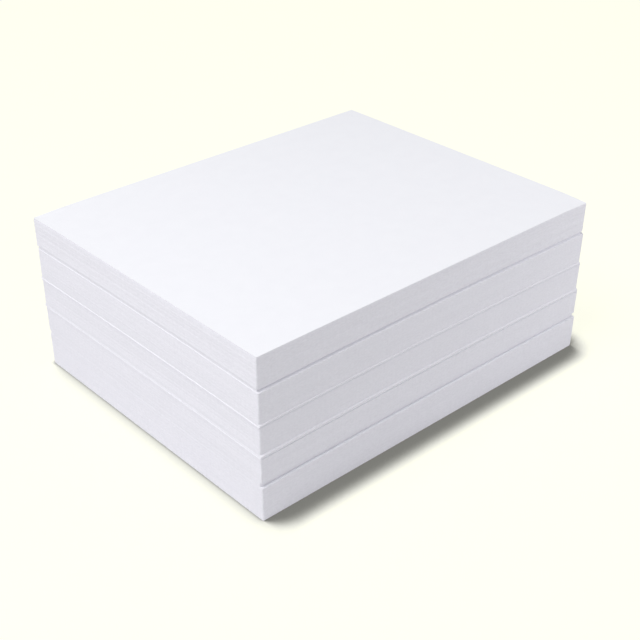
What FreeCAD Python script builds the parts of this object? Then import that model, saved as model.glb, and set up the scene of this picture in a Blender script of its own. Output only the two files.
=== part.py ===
import FreeCAD, Part
import Sketcher
import math
import os

# A stack of blank cut paper, 8 x 10 inch sheets, in five lifts.
# A lift is the pile that a paper cutter trims with one stroke of its knife.
# Millimetres, +Z up, +X along the long side of the sheets, origin under the middle of the stack.

SHEET_SIZES = {
    "sheet_length": 254.0,
    "sheet_width": 203.2,
    "caliper": 0.10,
    "knife_draw": 0.20,
    "handful_slip": 0.10,
}

# Each lift, from the floor up: its sheets, how far it was set down off the middle along X and Y,
# and how far its top leans over its bottom. Its crown is its top sheets and its foot is its bottom
# sheets, which roll over or flare: how many they are, and how far the last one stands out along X
# and Y. Less than nothing is set back.
LIFTS = {
    "bottom_lift": {
        "sheets": 219, "off_x": 0.15, "off_y": -0.10, "lean_x": 0.30, "lean_y": -0.30,
        "crown_sheets": 8, "crown_x": -0.10, "crown_y": -0.35,
        "foot_sheets": 12, "foot_x": -0.10, "foot_y": -0.15,
    },
    "lower_lift": {
        "sheets": 191, "off_x": -0.10, "off_y": 0.10, "lean_x": 0.10, "lean_y": -0.15,
        "crown_sheets": 16, "crown_x": -0.25, "crown_y": -0.60,
        "foot_sheets": 14, "foot_x": -0.10, "foot_y": -0.85,
    },
    "middle_lift": {
        "sheets": 191, "off_x": 0.0, "off_y": -0.10, "lean_x": 0.20, "lean_y": -0.20,
        "crown_sheets": 10, "crown_x": -0.35, "crown_y": -0.45,
        "foot_sheets": 14, "foot_x": 0.40, "foot_y": 0.60,
    },
    "upper_lift": {
        "sheets": 207, "off_x": 0.05, "off_y": -0.05, "lean_x": 0.25, "lean_y": -0.20,
        "crown_sheets": 8, "crown_x": -0.12, "crown_y": -0.35,
        "foot_sheets": 12, "foot_x": 0.42, "foot_y": 0.45,
    },
    "top_lift": {
        "sheets": 192, "off_x": 0.05, "off_y": 0.15, "lean_x": 0.15, "lean_y": -0.15,
        "crown_sheets": 8, "crown_x": -0.08, "crown_y": -0.08,
        "foot_sheets": 14, "foot_x": -0.30, "foot_y": -0.80,
    },
}

# Counts: each lift was jogged straight in this many handfuls.
HANDFULS = 9


def make_sizes(doc):
    """The spreadsheet with every driving dimension, one named cell each."""
    sizes = doc.addObject("Spreadsheet::Sheet", "Sizes")
    rows = dict(SHEET_SIZES)
    for lift_name, lift in LIFTS.items():
        for size_name, value in lift.items():
            rows[f"{lift_name}_{size_name}"] = value
    for row, (alias, value) in enumerate(rows.items(), start=1):
        sizes.set(f"A{row}", alias)
        sizes.set(f"B{row}", str(value))
        sizes.setAlias(f"B{row}", alias)
    doc.recompute()
    return sizes


def origin_plane(body, role):
    """The body's own origin plane with the given role."""
    for feature in body.Origin.OriginFeatures:
        if feature.Role == role:
            return feature
    raise ValueError(role)


def sheet_outline(body, name, height, stand_out, places):
    """One sheet's rectangle at a height in the lift, grown by stand_out along X and along Y."""
    sketch = body.newObject("Sketcher::SketchObject", name)
    sketch.AttachmentSupport = [(origin_plane(body, "XY_Plane"), "")]
    sketch.MapMode = "FlatFace"
    half_length = SHEET_SIZES["sheet_length"] / 2
    half_width = SHEET_SIZES["sheet_width"] / 2
    corners = [
        FreeCAD.Vector(-half_length, -half_width, 0),
        FreeCAD.Vector(half_length, -half_width, 0),
        FreeCAD.Vector(half_length, half_width, 0),
        FreeCAD.Vector(-half_length, half_width, 0),
    ]
    for side in range(4):
        sketch.addGeometry(Part.LineSegment(corners[side], corners[(side + 1) % 4]), False)
    for side in range(4):
        sketch.addConstraint(Sketcher.Constraint("Coincident", side, 2, (side + 1) % 4, 1))
    for side in (0, 2):
        sketch.addConstraint(Sketcher.Constraint("Horizontal", side))
    for side in (1, 3):
        sketch.addConstraint(Sketcher.Constraint("Vertical", side))
    sketch.addConstraint(Sketcher.Constraint("Symmetric", 0, 1, 2, 1, -1, 1))
    long_side = sketch.addConstraint(Sketcher.Constraint("DistanceX", 0, 1, 0, 2, 2 * half_length))
    short_side = sketch.addConstraint(Sketcher.Constraint("DistanceY", 1, 1, 1, 2, 2 * half_width))
    sketch.renameConstraint(long_side, "long_side")
    sketch.renameConstraint(short_side, "short_side")
    sketch.setExpression("Constraints.long_side", f"Sizes.sheet_length + 2 * ({stand_out[0]})")
    sketch.setExpression("Constraints.short_side", f"Sizes.sheet_width + 2 * ({stand_out[1]})")
    sketch.setExpression("AttachmentOffset.Base.x", places[0])
    sketch.setExpression("AttachmentOffset.Base.y", places[1])
    sketch.setExpression("AttachmentOffset.Base.z", height)
    return sketch


def lift_outlines(body, lift_name, phase):
    """The outlines of one lift from its bottom sheet to its top sheet."""
    thickness = f"Sizes.{lift_name}_sheets * Sizes.caliper"
    foot_height = f"Sizes.{lift_name}_foot_sheets * Sizes.caliper"
    crown_height = f"Sizes.{lift_name}_crown_sheets * Sizes.caliper"
    foot = [f"Sizes.{lift_name}_foot_{axis}" for axis in "xy"]
    crown = [f"Sizes.{lift_name}_crown_{axis}" for axis in "xy"]
    low = [f"Sizes.{lift_name}_lean_{axis} * -0.5" for axis in "xy"]
    high = [f"Sizes.{lift_name}_lean_{axis} * 0.5" for axis in "xy"]
    half_foot = [f"0.5 * {out}" for out in foot]
    half_crown = [f"0.5 * {out}" for out in crown]
    outlines = [
        sheet_outline(body, "FootSheet", "0", foot, low),
        sheet_outline(body, "FootEdge", f"0.5 * {foot_height}", half_foot, low),
    ]
    for handful in range(HANDFULS):
        turn = phase + 2.4 * handful
        slips = (math.cos(turn), math.sin(1.7 * turn))
        for end, step in (("Bottom", 0), ("Top", 1)):
            share = (handful + step) / HANDFULS
            nudge = "Sizes.caliper" if step == 0 else "0"
            straight = f"{thickness} - {foot_height} - {crown_height}"
            height = f"{foot_height} + {share:.4f} * ({straight}) + {nudge}"
            drawn = f"Sizes.knife_draw * {share - 0.5:.4f}"
            places = [
                f"Sizes.{lift_name}_lean_{axis} * {share - 0.5:.4f} + Sizes.handful_slip * {slip:.3f}"
                for axis, slip in zip("xy", slips)
            ]
            name = f"Handful{handful + 1}{end}"
            outlines.append(sheet_outline(body, name, height, (drawn, drawn), places))
    outlines += [
        sheet_outline(body, "CrownEdge", f"{thickness} - 0.5 * {crown_height}", half_crown, high),
        sheet_outline(body, "CrownSheet", thickness, crown, high),
    ]
    return outlines


def make_lift(doc, lift_name, below, phase):
    """One lift: a solid pile of sheets, skinned over the outlines of its handfuls."""
    body = doc.addObject("PartDesign::Body", lift_name)
    body.Label = lift_name
    outlines = lift_outlines(body, lift_name, phase)
    pile = body.newObject("PartDesign::AdditiveLoft", "Pile")
    pile.Profile = outlines[0]
    pile.Sections = outlines[1:]
    pile.Ruled = True
    body.Tip = pile
    body.setExpression("Placement.Base.x", f"Sizes.{lift_name}_off_x")
    body.setExpression("Placement.Base.y", f"Sizes.{lift_name}_off_y")
    if below:
        sheets_below = " + ".join(f"Sizes.{name}_sheets" for name in below)
        body.setExpression("Placement.Base.z", f"({sheets_below}) * Sizes.caliper")
    return body


def check(doc):
    """Every object has recomputed and every lift is one valid solid."""
    for item in doc.Objects:
        if "Invalid" in item.State or "Error" in item.State:
            raise RuntimeError(f"{item.Name}: {item.State}")
        if hasattr(item, "Shape") and item.TypeId != "PartDesign::CoordinateSystem":
            if item.TypeId.startswith("PartDesign") or item.TypeId.startswith("Sketcher"):
                if item.Shape.isNull() or not item.Shape.isValid():
                    raise RuntimeError(f"{item.Name} has no valid shape")


def build():
    doc = FreeCAD.newDocument("ream_of_paper")
    make_sizes(doc)
    lifts = []
    for number, lift_name in enumerate(LIFTS):
        below = list(LIFTS)[:number]
        lifts.append(make_lift(doc, lift_name, below, phase=1.3 * number))
    doc.recompute()
    check(doc)
    os.makedirs("parts", exist_ok=True)
    for lift in lifts:
        if len(lift.Shape.Solids) != 1:
            raise RuntimeError(f"{lift.Label} is not one solid")
        lift.Shape.exportStep(f"parts/{lift.Label}.step")
    return doc


build()
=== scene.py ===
import math

import bpy
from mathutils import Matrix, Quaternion, Vector


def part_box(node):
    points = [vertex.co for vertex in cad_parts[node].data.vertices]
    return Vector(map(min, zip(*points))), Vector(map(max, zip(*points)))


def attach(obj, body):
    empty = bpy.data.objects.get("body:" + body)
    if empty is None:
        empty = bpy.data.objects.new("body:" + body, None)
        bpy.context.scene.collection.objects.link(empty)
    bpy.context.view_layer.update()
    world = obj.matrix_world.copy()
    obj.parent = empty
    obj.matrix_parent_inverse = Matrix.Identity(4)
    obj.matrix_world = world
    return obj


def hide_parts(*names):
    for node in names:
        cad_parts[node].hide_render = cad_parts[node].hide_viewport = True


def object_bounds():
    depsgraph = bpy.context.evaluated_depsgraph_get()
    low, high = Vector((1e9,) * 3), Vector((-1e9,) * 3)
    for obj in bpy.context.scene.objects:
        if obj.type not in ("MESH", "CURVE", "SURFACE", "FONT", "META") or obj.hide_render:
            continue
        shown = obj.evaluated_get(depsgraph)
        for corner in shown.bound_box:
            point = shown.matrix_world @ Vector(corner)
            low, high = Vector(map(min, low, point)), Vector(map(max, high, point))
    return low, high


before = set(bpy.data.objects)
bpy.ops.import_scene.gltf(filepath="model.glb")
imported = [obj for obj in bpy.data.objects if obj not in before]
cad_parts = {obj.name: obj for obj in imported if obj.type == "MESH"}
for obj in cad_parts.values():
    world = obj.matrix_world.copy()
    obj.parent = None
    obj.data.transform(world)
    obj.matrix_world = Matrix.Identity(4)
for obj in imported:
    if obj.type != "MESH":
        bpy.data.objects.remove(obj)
cad_box = [list(corner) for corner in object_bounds()]

# The cut lifts: the block is five piles of loose blank sheets, 8 x 10 inch, uncoated white paper.
# A paper cutter trims each pile with one stroke, so its edges line up, lean a little and roll over or
# flare out at its first and last sheets. The piles were then set on one another by hand.

# What all the lifts share, in metres, but for the count of sheets in a handful and the skew's share.
LIFT_SIZES = {
    "Sheet Length": 0.2540,
    "Sheet Width": 0.2032,
    "Sheet Thickness": 0.0001,
    "Stack Height": cad_box[1][2],
    "Knife Draw": 0.0002,
    "Handful Sheets": 22.0,
    "Sheet Slip": 0.000007,
    "Sheet Groove": 0.000010,
    "Edge Wave": 0.00006,
    "Corner Sag": 0.00115,
    "Sag Skew": 0.17,
    "Corner Round": 0.0006,
}

# Points round a sheet's edge and to each side, rings of points on a face, and the angle in radians
# past which a rim is crisp.
POINTS_AROUND = 64
POINTS_PER_SIDE = POINTS_AROUND / 4
FACE_RINGS = 14
RIM_ANGLE = 0.8

# Millimetres, along the length and the width: how far a lift was set down off the middle, how far its
# top leans over its bottom, how far its top sheets (crown) and bottom sheets (foot) stand out of the
# pile, or in, with the heights that they curl over, and how far its handfuls of sheets slipped. The
# two ways of the block were trimmed by separate strokes, so they differ.
LIFTS = {
    "bottom_lift": {
        "off": (0.16, -0.75),
        "lean": (0.10, -0.10),
        "crown": (-0.03, -0.35),
        "crown_height": (0.6, 0.5),
        "foot": (-0.10, -0.15),
        "foot_height": (1.2, 1.2),
        "slip": (0.020, 0.030),
    },
    "lower_lift": {
        "off": (-0.09, -0.68),
        "lean": (0.10, -0.15),
        "crown": (0.17, -0.60),
        "crown_height": (1.9, 0.6),
        "foot": (-0.14, -1.15),
        "foot_height": (1.2, 3.3),
        "slip": (0.015, 0.050),
    },
    "middle_lift": {
        "off": (0.00, -0.15),
        "lean": (0.20, -0.20),
        "crown": (0.38, -0.65),
        "crown_height": (1.2, 0.5),
        "foot": (0.16, 0.95),
        "foot_height": (1.2, 2.0),
        "slip": (0.008, 0.050),
    },
    "upper_lift": {
        "off": (-0.13, -0.04),
        "lean": (0.25, -0.20),
        "crown": (-0.16, -0.95),
        "crown_height": (0.7, 0.65),
        "foot": (0.25, 0.65),
        "foot_height": (0.5, 1.5),
        "slip": (0.008, 0.030),
    },
    "top_lift": {
        "off": (-0.39, 0.25),
        "lean": (0.15, -0.15),
        "crown": (-0.08, -0.08),
        "crown_height": (0.8, 0.8),
        "foot": (-0.42, -0.80),
        "foot_height": (1.6, 1.4),
        "slip": (0.08, 0.20),
    },
}

# The share of a curl's height that stands out in full, along the length and the width.
CROWN_HOLD = (0.85, 0.35)
FOOT_HOLD = (0.50, 0.60)

# How much of its slip a handful also stands out by, how much of its rounding a corner is set back by,
# and the waves of the cut edge: how many there are to a side, and how fast they change up the pile.
SLIP_OUT = 0.5
CORNER_BLUNT = 0.4
WAVES = (1.6, 1.3)
WAVE_CHANGE = 0.012

# The sag's shape is scaled to 1 where it is most. A drooping tip has its size in metres, its share at
# the long and the short diagonal, and how sharply it ends across the sheet and down the pile.
SAG_SCALE = 2.6
TIP_DROOP = 0.0007
TIP_SHARE = 0.6
TIP_SKEW = -0.5
TIP_SHARPNESS = 14.0
TIP_SHALLOWNESS = 4.0

# The seed of the bottom lift, and the step from one lift to the next.
FIRST_SEED = 3.7
SEED_STEP = 11.3


def add_node(tree, kind, inputs=(), **settings):
    """A node with its settings and its inputs, which are numbers, vectors or other nodes' outputs."""
    node = tree.nodes.new(kind)
    for name, value in settings.items():
        setattr(node, name, value)
    for key, value in dict(inputs).items():
        socket = node.inputs[key]
        if isinstance(value, Field):
            value = value.socket
        if isinstance(value, bpy.types.NodeSocket):
            tree.links.new(value, socket)
        else:
            socket.default_value = value
    return node


class Field:
    """A number that the node tree works out for each point, with the usual signs for sums."""

    def __init__(self, tree, socket):
        self.tree = tree
        self.socket = socket

    def step(self, operation, *others):
        inputs = dict(enumerate((self, *others)))
        node = add_node(self.tree, "ShaderNodeMath", inputs, operation=operation)
        return Field(self.tree, node.outputs[0])

    def __add__(self, other):
        return self.step("ADD", other)

    def __sub__(self, other):
        return self.step("SUBTRACT", other)

    def __mul__(self, other):
        return self.step("MULTIPLY", other)

    def __truediv__(self, other):
        return self.step("DIVIDE", other)

    def limited(self, low, high):
        return self.step("MAXIMUM", low).step("MINIMUM", high)


def square_outline(turn):
    """From 1 to -1 and back once in four quarter turns, flat while the corner's side lasts."""
    swing = (turn.step("FLOORED_MODULO", 4.0) - 2.0).step("ABSOLUTE") - 1.0
    return (swing * 2.0).limited(-1.0, 1.0)


def last_step(along):
    """1 at the end of a side and 0 from the side's last point but one inwards."""
    inner = 1.0 - 2.0 / POINTS_PER_SIDE
    return ((along.step("ABSOLUTE") - inner) / (1.0 - inner)).limited(0.0, 1.0)


def crowded_to_ends(along, end_share):
    """Moves the last point but one to within end_share of the side's end, and spreads the others."""
    inner = 1.0 - 2.0 / POINTS_PER_SIDE
    spread = (along / inner).limited(-1.0, 1.0)
    return spread - spread * end_share * (last_step(along) * -1.0 + 1.0)


def parts(tree, vector):
    """The parts of a vector along the block's length and width."""
    split = add_node(tree, "ShaderNodeSeparateXYZ", {0: vector})
    return [Field(tree, output) for output in split.outputs[:2]]


def curl(tree, depth, heights, holds):
    """How much of the curl the sheets have that lie this deep in the pile, along and across."""
    curled = []
    for height, hold in zip(parts(tree, heights), holds):
        span = {"Value": depth, "From Min": height, "From Max": height * hold}
        rise = add_node(tree, "ShaderNodeMapRange", span, interpolation_type="SMOOTHSTEP")
        curled.append(Field(tree, rise.outputs[0]))
    return curled


def make_lift_tree():
    """Geometry nodes for one lift: a closed pile with two rings of points to each sheet."""
    tree = bpy.data.node_groups.new("cut_paper_lift", "GeometryNodeTree")
    sockets = {name: "NodeSocketFloat" for name in LIFT_SIZES}
    sockets |= {
        "Sheets": "NodeSocketInt",
        "Seed": "NodeSocketFloat",
        "Base Height": "NodeSocketFloat",
        "Offset": "NodeSocketVector",
        "Lean": "NodeSocketVector",
        "Crown": "NodeSocketVector",
        "Foot": "NodeSocketVector",
        "Crown Height": "NodeSocketVector",
        "Foot Height": "NodeSocketVector",
        "Handful Slip": "NodeSocketVector",
        "Corner Droop": "NodeSocketFloat",
        "Sheet Face": "NodeSocketMaterial",
        "Cut Edge": "NodeSocketMaterial",
    }
    for name, kind in sockets.items():
        tree.interface.new_socket(name=name, in_out="INPUT", socket_type=kind)
    tree.interface.new_socket(name="Geometry", in_out="OUTPUT", socket_type="NodeSocketGeometry")
    given = tree.nodes.new("NodeGroupInput").outputs
    value = {name: Field(tree, given[name]) for name in sockets}
    rings = value["Sheets"] * 2.0
    tube = add_node(
        tree,
        "GeometryNodeMeshCylinder",
        {
            "Vertices": POINTS_AROUND,
            "Side Segments": rings,
            "Fill Segments": FACE_RINGS,
            "Radius": 1.0,
            "Depth": 1.0,
        },
        fill_type="NGON",
    )

    # Each point's place in the pile: ring, height, quarter turn and distance from the middle.
    place = add_node(tree, "GeometryNodeInputPosition")
    spot = add_node(tree, "ShaderNodeSeparateXYZ", {0: place.outputs[0]})
    spot_x, spot_y, spot_z = (Field(tree, output) for output in spot.outputs)
    share = (spot_z + 0.5).limited(0.0, 1.0)
    ring = (share * rings).step("ROUND")
    odd = ring.step("FLOORED_MODULO", 2.0)
    out = (spot_x * spot_x + spot_y * spot_y).step("SQRT").limited(0.0, 1.0)
    turn = spot_y.step("ARCTAN2", spot_x) * (2.0 / math.pi) + 0.5
    turn = (turn * POINTS_PER_SIDE).step("ROUND") / POINTS_PER_SIDE
    side_x = square_outline(turn)
    side_y = square_outline(turn - 1.0)
    along_x = crowded_to_ends(side_x, value["Corner Round"] * 2.0 / value["Sheet Length"])
    along_y = crowded_to_ends(side_y, value["Corner Round"] * 2.0 / value["Sheet Width"])
    blunt = last_step(side_x) * last_step(side_y) * value["Corner Round"] * CORNER_BLUNT

    # How far this sheet's edge stands out: draw of the knife, slip of its handful and its own, waves,
    # groove to the next sheet, blunt corners, and the curls of crown and foot.
    thickness = value["Sheets"] * value["Sheet Thickness"]
    height = share * thickness
    handfuls = add_node(
        tree,
        "ShaderNodeTexNoise",
        {
            "W": ring / (value["Handful Sheets"] * 2.0) + value["Seed"],
            "Scale": 1.0,
            "Detail": 3.0,
            "Roughness": 0.5,
        },
        noise_dimensions="1D",
    )
    slips = add_node(tree, "ShaderNodeSeparateXYZ", {0: handfuls.outputs["Color"]})
    most_x, most_y = parts(tree, given["Handful Slip"])
    slip_x, slip_y, slip_out = (
        (Field(tree, output) - 0.5) * most * 2.0
        for output, most in zip(slips.outputs, (most_x, most_y, most_x))
    )
    single = add_node(
        tree,
        "FunctionNodeRandomValue",
        {"Min": (-1.0, -1.0, -1.0), "Max": (1.0, 1.0, 1.0), "ID": ring, "Seed": value["Seed"]},
        data_type="FLOAT_VECTOR",
    )
    singles = add_node(tree, "ShaderNodeSeparateXYZ", {0: single.outputs[0]})
    single_x, single_y, single_out = (
        Field(tree, output) * odd * value["Sheet Slip"] for output in singles.outputs
    )
    wave_place = add_node(
        tree,
        "ShaderNodeCombineXYZ",
        {0: along_x * WAVES[0], 1: along_y * WAVES[1], 2: ring * WAVE_CHANGE + value["Seed"]},
    )
    wave = add_node(
        tree,
        "ShaderNodeTexNoise",
        {"Vector": wave_place.outputs[0], "Scale": 1.0, "Detail": 2.0},
    )
    stand_out = (
        (share - 0.5) * value["Knife Draw"]
        + slip_out * SLIP_OUT
        + single_out
        + (Field(tree, wave.outputs[0]) - 0.5) * value["Edge Wave"] * 2.0
        + (odd - 1.0) * value["Sheet Groove"]
        - blunt
    )
    crown_curl = curl(tree, thickness - height, given["Crown Height"], CROWN_HOLD)
    foot_curl = curl(tree, height, given["Foot Height"], FOOT_HOLD)
    crown_x, crown_y = (part * curled for part, curled in zip(parts(tree, given["Crown"]), crown_curl))
    foot_x, foot_y = (part * curled for part, curled in zip(parts(tree, given["Foot"]), foot_curl))
    lean_x, lean_y = (part * (share - 0.5) for part in parts(tree, given["Lean"]))
    offset_x, offset_y = parts(tree, given["Offset"])
    half_x = stand_out + crown_x + foot_x + value["Sheet Length"] / 2.0
    half_y = stand_out + crown_y + foot_y + value["Sheet Width"] / 2.0
    x = along_x * out * half_x + lean_x + offset_x + slip_x + single_x
    y = along_y * out * half_y + lean_y + offset_y + slip_y + single_y

    # The sheets sag towards the corners, most at two thirds of the block's height, and the tips droop.
    level = height + value["Base Height"]
    level_share = level / value["Stack Height"]
    bow = level_share * (level_share * -1.0 + 1.0).limited(0.0, 1.0).step("SQRT") * SAG_SCALE
    corner = (along_x * along_y * out * out).step("ABSOLUTE")
    skew = (along_x - along_y) * out * value["Sag Skew"] + 1.0
    sag = corner * corner * bow * skew * value["Corner Sag"]
    tip = (along_x * along_y * TIP_SKEW + TIP_SHARE) * corner.step("POWER", TIP_SHARPNESS)
    droop = tip * share.step("POWER", TIP_SHALLOWNESS) * value["Corner Droop"]
    z = level - sag - droop
    point = add_node(tree, "ShaderNodeCombineXYZ", {0: x, 1: y, 2: z})
    moved = add_node(
        tree,
        "GeometryNodeSetPosition",
        {"Geometry": tube.outputs["Mesh"], "Position": point.outputs[0]},
    )
    faces = add_node(
        tree, "FunctionNodeBooleanMath", {0: tube.outputs["Top"], 1: tube.outputs["Bottom"]}, operation="OR"
    )
    smooth = add_node(
        tree,
        "GeometryNodeSetShadeSmooth",
        {"Geometry": moved.outputs[0], "Shade Smooth": faces.outputs[0]},
    )
    bend = add_node(tree, "GeometryNodeInputMeshEdgeAngle")
    rims = add_node(tree, "FunctionNodeCompare", {0: bend.outputs["Unsigned Angle"], 1: RIM_ANGLE})
    crisp = add_node(
        tree,
        "GeometryNodeSetShadeSmooth",
        {"Geometry": smooth.outputs[0], "Selection": rims.outputs[0], "Shade Smooth": False},
        domain="EDGE",
    )
    solid = add_node(tree, "GeometryNodeRealizeInstances", {"Geometry": crisp.outputs[0]})
    edges = add_node(
        tree, "GeometryNodeSetMaterial", {"Geometry": solid.outputs[0], "Material": given["Cut Edge"]}
    )
    sheets = add_node(
        tree,
        "GeometryNodeSetMaterial",
        {"Geometry": edges.outputs[0], "Selection": faces.outputs[0], "Material": given["Sheet Face"]},
    )
    add_node(tree, "NodeGroupOutput", {"Geometry": sheets.outputs[0]})
    return tree


# Whites of the paper, which is a little blue: as a whole, and the darkest and lightest of its pattern.
PAPER_GLOSS = 0.25
SHEET_FACE_COLOUR = (0.90, 0.905, 0.95)
SHEET_FACE_RANGE = ((0.89, 0.895, 0.945), (0.935, 0.94, 0.985))
CUT_EDGE_COLOUR = (0.86, 0.853, 0.912)
CUT_EDGE_RANGE = ((0.81, 0.803, 0.862), (0.91, 0.903, 0.962))


def paper_material(name, colour, roughness):
    """Uncoated white paper with its shader ready to take a pattern."""
    material = bpy.data.materials.new(name)
    material.use_nodes = True
    shader = material.node_tree.nodes["Principled BSDF"]
    shader.inputs["Base Color"].default_value = (*colour, 1.0)
    shader.inputs["Roughness"].default_value = roughness
    shader.inputs["Specular IOR Level"].default_value = PAPER_GLOSS
    return material, material.node_tree, shader


def stretched_noise(tree, stretch, scale, detail):
    """Noise on the piece's own coordinates, drawn out along the axes with a low stretch."""
    where = add_node(tree, "ShaderNodeTexCoord")
    mapping = add_node(tree, "ShaderNodeMapping", {"Vector": where.outputs["Object"], "Scale": stretch})
    return add_node(
        tree,
        "ShaderNodeTexNoise",
        {"Vector": mapping.outputs[0], "Scale": scale, "Detail": detail, "Roughness": 0.6},
    )


def blended(tree, share, first, second):
    """The first colour where the share is 0, the second where it is 1."""
    ends = [(*colour, 1.0) if isinstance(colour, tuple) else colour for colour in (first, second)]
    mix = add_node(tree, "ShaderNodeMix", {0: share, 6: ends[0], 7: ends[1]}, data_type="RGBA")
    return mix.outputs[2]


def tinted(tree, shader, layers, dark, light):
    """Colours the shader between two whites by the sum of the layers, each a noise and its share."""
    total = None
    for noise, weight in layers:
        part = (Field(tree, noise.outputs[0]) - 0.5) * weight
        total = part if total is None else total + part
    colour = blended(tree, (total + 0.5).limited(0.0, 1.0), dark, light)
    tree.links.new(colour, shader.inputs["Base Color"])


def rough_surface(tree, shader, noise, depth, strength):
    """Makes the shader's surface bumpy with the noise, which is depth metres deep."""
    bump = add_node(
        tree, "ShaderNodeBump", {"Height": noise.outputs[0], "Distance": depth, "Strength": strength}
    )
    tree.links.new(bump.outputs[0], shader.inputs["Normal"])


def make_sheet_face():
    """The face of a sheet: clouds of thicker and thinner pulp, and a fine felt of fibres."""
    material, tree, shader = paper_material("sheet_face", SHEET_FACE_COLOUR, roughness=0.85)
    clouds = stretched_noise(tree, (1.0, 1.0, 1.0), scale=90.0, detail=3.0)
    fibres = stretched_noise(tree, (1.0, 0.4, 1.0), scale=2200.0, detail=2.0)
    tinted(tree, shader, [(clouds, 0.8), (fibres, 0.9)], *SHEET_FACE_RANGE)
    rough_surface(tree, shader, fibres, depth=0.00002, strength=0.35)
    return material


def make_cut_edge():
    """The cut edges of many sheets: bands along the sheets, upright strokes of the knife, flecks."""
    material, tree, shader = paper_material("cut_edge", CUT_EDGE_COLOUR, roughness=0.92)
    bands = stretched_noise(tree, (0.008, 0.008, 1.0), scale=500.0, detail=3.0)
    sheets = stretched_noise(tree, (0.004, 0.004, 1.0), scale=6000.0, detail=1.0)
    knife = stretched_noise(tree, (1.0, 1.0, 0.06), scale=700.0, detail=2.0)
    flecks = stretched_noise(tree, (0.4, 0.4, 1.0), scale=1300.0, detail=2.0)
    layers = [(bands, 0.35), (sheets, 0.3), (knife, 0.35), (flecks, 1.4)]
    tinted(tree, shader, layers, *CUT_EDGE_RANGE)
    rough_surface(tree, shader, sheets, depth=0.00003, strength=0.3)
    return material


def metres(along_and_across):
    """A pair of millimetres as a vector in metres."""
    return [size / 1000 for size in along_and_across] + [0.0]


def make_lift(name, lift, seed, tree, sheet_face, cut_edge):
    """Builds one lift's mesh from the tree, in the place that the frame gives it."""
    low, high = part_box(name)
    piece = bpy.data.objects.new(name + "_sheets", bpy.data.meshes.new(name + "_sheets"))
    bpy.context.scene.collection.objects.link(piece)
    pile = piece.modifiers.new("pile", "NODES")
    pile.node_group = tree
    inputs = LIFT_SIZES | {
        "Sheets": round((high[2] - low[2]) / LIFT_SIZES["Sheet Thickness"]),
        "Seed": seed,
        "Base Height": low[2],
        "Offset": metres(lift["off"]),
        "Lean": metres(lift["lean"]),
        "Crown": metres(lift["crown"]),
        "Foot": metres(lift["foot"]),
        "Crown Height": metres(lift["crown_height"]),
        "Foot Height": metres(lift["foot_height"]),
        "Handful Slip": metres(lift["slip"]),
        "Corner Droop": TIP_DROOP if name == "top_lift" else 0.0,
        "Sheet Face": sheet_face,
        "Cut Edge": cut_edge,
    }
    for item in tree.interface.items_tree:
        if item.in_out == "INPUT":
            pile[item.identifier] = inputs[item.name]
    bpy.context.view_layer.update()
    scene_graph = bpy.context.evaluated_depsgraph_get()
    mesh = bpy.data.meshes.new_from_object(piece.evaluated_get(scene_graph))
    piece.modifiers.remove(pile)
    piece.data = mesh
    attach(piece, "root")
    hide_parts(name)
    return piece


lift_tree = make_lift_tree()
sheet_face = make_sheet_face()
cut_edge = make_cut_edge()
for number, (lift_name, lift) in enumerate(LIFTS.items()):
    make_lift(lift_name, lift, FIRST_SEED + SEED_STEP * number, lift_tree, sheet_face, cut_edge)

# The studio: a plain pale floor that the camera sees as near white, one large soft lamp above and to
# the left, a weak one low on the right, and an even sky of light all round. A painted shade of the block
# darkens the floor softly on its right, and in a thin line all round where it stands.
FLOOR_SIZE = 8.0

# The floor's own colour lights the paper. The camera sees the darker one, which takes the lamps'
# shadows, and a glow on top of it; both are darkened by the painted shade, and the glow changes its
# tint where less painted light than SHADE_START is left.
FLOOR_COLOUR = (0.82, 0.82, 0.82)
FLOOR_SEEN = (0.16, 0.16, 0.16)
FLOOR_GLOW = (0.90, 0.90, 0.765)
SHADE_GLOW = (0.90, 0.90, 0.812)
SHADE_START = 0.8
BACKDROP_COLOUR = (1.0, 1.0, 0.913)

# The painted shade, which the floor's colour carries and no lamp casts: how far off the block is felt, the
# way in which it is looked for, the shares of open air between which the floor is painted darker, and how
# much light is left at the darkest. Contact is the thin line.
SHADOW_REACH = 0.021
SHADOW_LEAN = (-0.33, 0.63, 0.70)
SHADOW_RANGE = (0.48, 0.90)
SHADOW_DEPTH = 0.20
CONTACT_REACH = 0.0026
CONTACT_START = 0.5
CONTACT_DEPTH = 0.35
SHADE_SAMPLES = 24

SKY_STRENGTH = 0.41
KEY_PLACE = (-0.86, -0.02, 1.48)
KEY_SIZE = 0.90
KEY_POWER = 18.1
FILL_PLACE = (0.45, -0.40, 0.20)
FILL_SIZE = 0.20
FILL_POWER = 0.60


def shown(tree):
    """1 for rays that show the studio itself, straight on, mirrored or through glass, 0 for its light."""
    rays = add_node(tree, "ShaderNodeLightPath").outputs
    straight = Field(tree, rays["Is Camera Ray"])
    return (straight + rays["Is Glossy Ray"] + rays["Is Transmission Ray"]).limited(0.0, 1.0)


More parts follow.
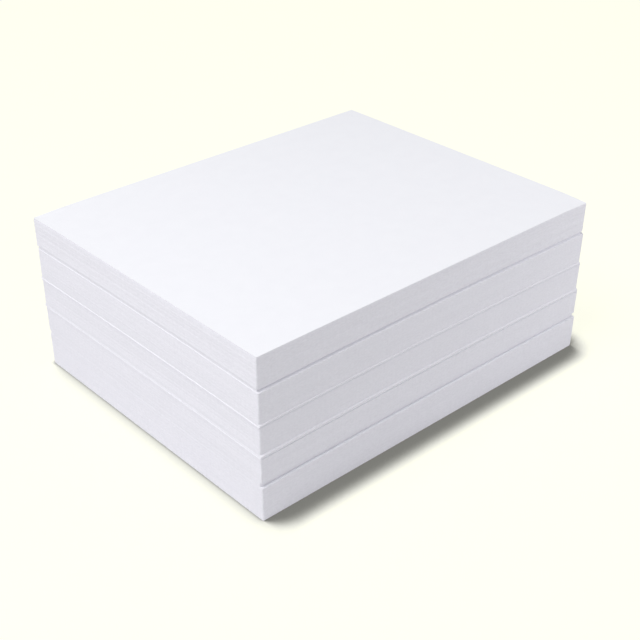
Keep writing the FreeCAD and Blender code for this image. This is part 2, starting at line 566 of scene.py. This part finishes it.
def painted_block_shade(tree):
    """The painted shade that the block leaves in the floor's colour: 1 in the open, least where the two
    touch.
    """
    lean = add_node(tree, "ShaderNodeCombineXYZ", dict(enumerate(SHADOW_LEAN)))
    open_air = add_node(
        tree,
        "ShaderNodeAmbientOcclusion",
        {"Distance": SHADOW_REACH, "Normal": lean.outputs[0]},
        samples=SHADE_SAMPLES,
    )
    soft = add_node(
        tree,
        "ShaderNodeMapRange",
        {
            "Value": open_air.outputs["AO"],
            "From Min": SHADOW_RANGE[0],
            "From Max": SHADOW_RANGE[1],
            "To Min": SHADOW_DEPTH,
        },
        interpolation_type="SMOOTHSTEP",
    )
    touching = add_node(
        tree, "ShaderNodeAmbientOcclusion", {"Distance": CONTACT_REACH}, samples=SHADE_SAMPLES
    )
    thin = add_node(
        tree,
        "ShaderNodeMapRange",
        {"Value": touching.outputs["AO"], "From Min": CONTACT_START, "To Min": CONTACT_DEPTH},
    )
    return Field(tree, soft.outputs[0]).step("MINIMUM", thin.outputs[0])


def make_floor():
    """A large square under the block, which glows pale for the camera and is painted darker in the block's
    shade.
    """
    half = FLOOR_SIZE / 2
    corners = [(-half, -half, 0), (half, -half, 0), (half, half, 0), (-half, half, 0)]
    mesh = bpy.data.meshes.new("floor")
    mesh.from_pydata(corners, [], [(0, 1, 2, 3)])
    floor = bpy.data.objects.new("floor", mesh)
    bpy.context.scene.collection.objects.link(floor)
    material = bpy.data.materials.new("studio_floor")
    material.use_nodes = True
    tree = material.node_tree
    shader = tree.nodes["Principled BSDF"]
    shader.inputs["Roughness"].default_value = 1.0
    shader.inputs["Specular IOR Level"].default_value = 0.0
    seen = shown(tree)
    # Painted shade: the floor's seen colour and glow are darkened by how much open air the block leaves
    # each spot.
    painted_light = painted_block_shade(tree)
    in_open = add_node(tree, "ShaderNodeMapRange", {"Value": painted_light, "From Min": SHADE_START})
    glow = blended(tree, in_open.outputs[0], SHADE_GLOW, FLOOR_GLOW)
    tree.links.new(glow, shader.inputs["Emission Color"])
    shaded = blended(tree, painted_light, (0.0, 0.0, 0.0), FLOOR_SEEN)
    colour = blended(tree, seen, FLOOR_COLOUR, shaded)
    tree.links.new(colour, shader.inputs["Base Color"])
    tree.links.new((painted_light * seen).socket, shader.inputs["Emission Strength"])
    mesh.materials.append(material)


def add_lamp(name, place, size, power):
    """A square soft box that looks at the middle of the block."""
    lamp = bpy.data.lights.new(name, "AREA")
    lamp.shape = "SQUARE"
    lamp.size = size
    lamp.energy = power
    holder = bpy.data.objects.new(name, lamp)
    holder.location = place
    middle = Vector((0.0, 0.0, cad_box[1][2] / 2))
    holder.rotation_mode = "QUATERNION"
    holder.rotation_quaternion = (middle - Vector(place)).to_track_quat("-Z", "Y")
    bpy.context.scene.collection.objects.link(holder)


def make_sky():
    """Even white light, which the camera sees as the pale backdrop."""
    world = bpy.data.worlds.new("studio")
    world.use_nodes = True
    tree = world.node_tree
    light = tree.nodes["Background"]
    light.inputs["Color"].default_value = (1.0, 1.0, 1.0, 1.0)
    light.inputs["Strength"].default_value = SKY_STRENGTH
    backdrop = add_node(tree, "ShaderNodeBackground", {"Color": (*BACKDROP_COLOUR, 1.0), "Strength": 1.0})
    sky = add_node(
        tree, "ShaderNodeMixShader", {0: shown(tree), 1: light.outputs[0], 2: backdrop.outputs[0]}
    )
    tree.links.new(sky.outputs[0], tree.nodes["World Output"].inputs["Surface"])
    bpy.context.scene.world = world


make_floor()
make_sky()
add_lamp("key_lamp", KEY_PLACE, KEY_SIZE, KEY_POWER)
add_lamp("fill_lamp", FILL_PLACE, FILL_SIZE, FILL_POWER)

# The camera: at the photograph's angle, above the near corner of the block and looking down at it.
# Its place, line of sight and lens were fitted to the corners of the block in the photograph.
CAMERA_PLACE = (-0.4227, -0.4737, 0.4049)
CAMERA_LOOK = (0.5746, 0.6367, -0.5143)
CAMERA_ROLL = -0.06
CAMERA_LENS = 67.27

camera = bpy.data.objects.new("camera", bpy.data.cameras.new("camera"))
camera.data.lens = CAMERA_LENS
camera.data.sensor_width = 36.0
camera.data.sensor_fit = "HORIZONTAL"
camera.location = CAMERA_PLACE
camera.rotation_mode = "QUATERNION"
level_turn = Vector(CAMERA_LOOK).to_track_quat("-Z", "Y")
camera.rotation_quaternion = level_turn @ Quaternion((0, 0, 1), math.radians(CAMERA_ROLL))
bpy.context.scene.collection.objects.link(camera)
bpy.context.scene.camera = camera
bpy.context.scene.view_settings.view_transform = "Standard"

bpy.context.view_layer.update()
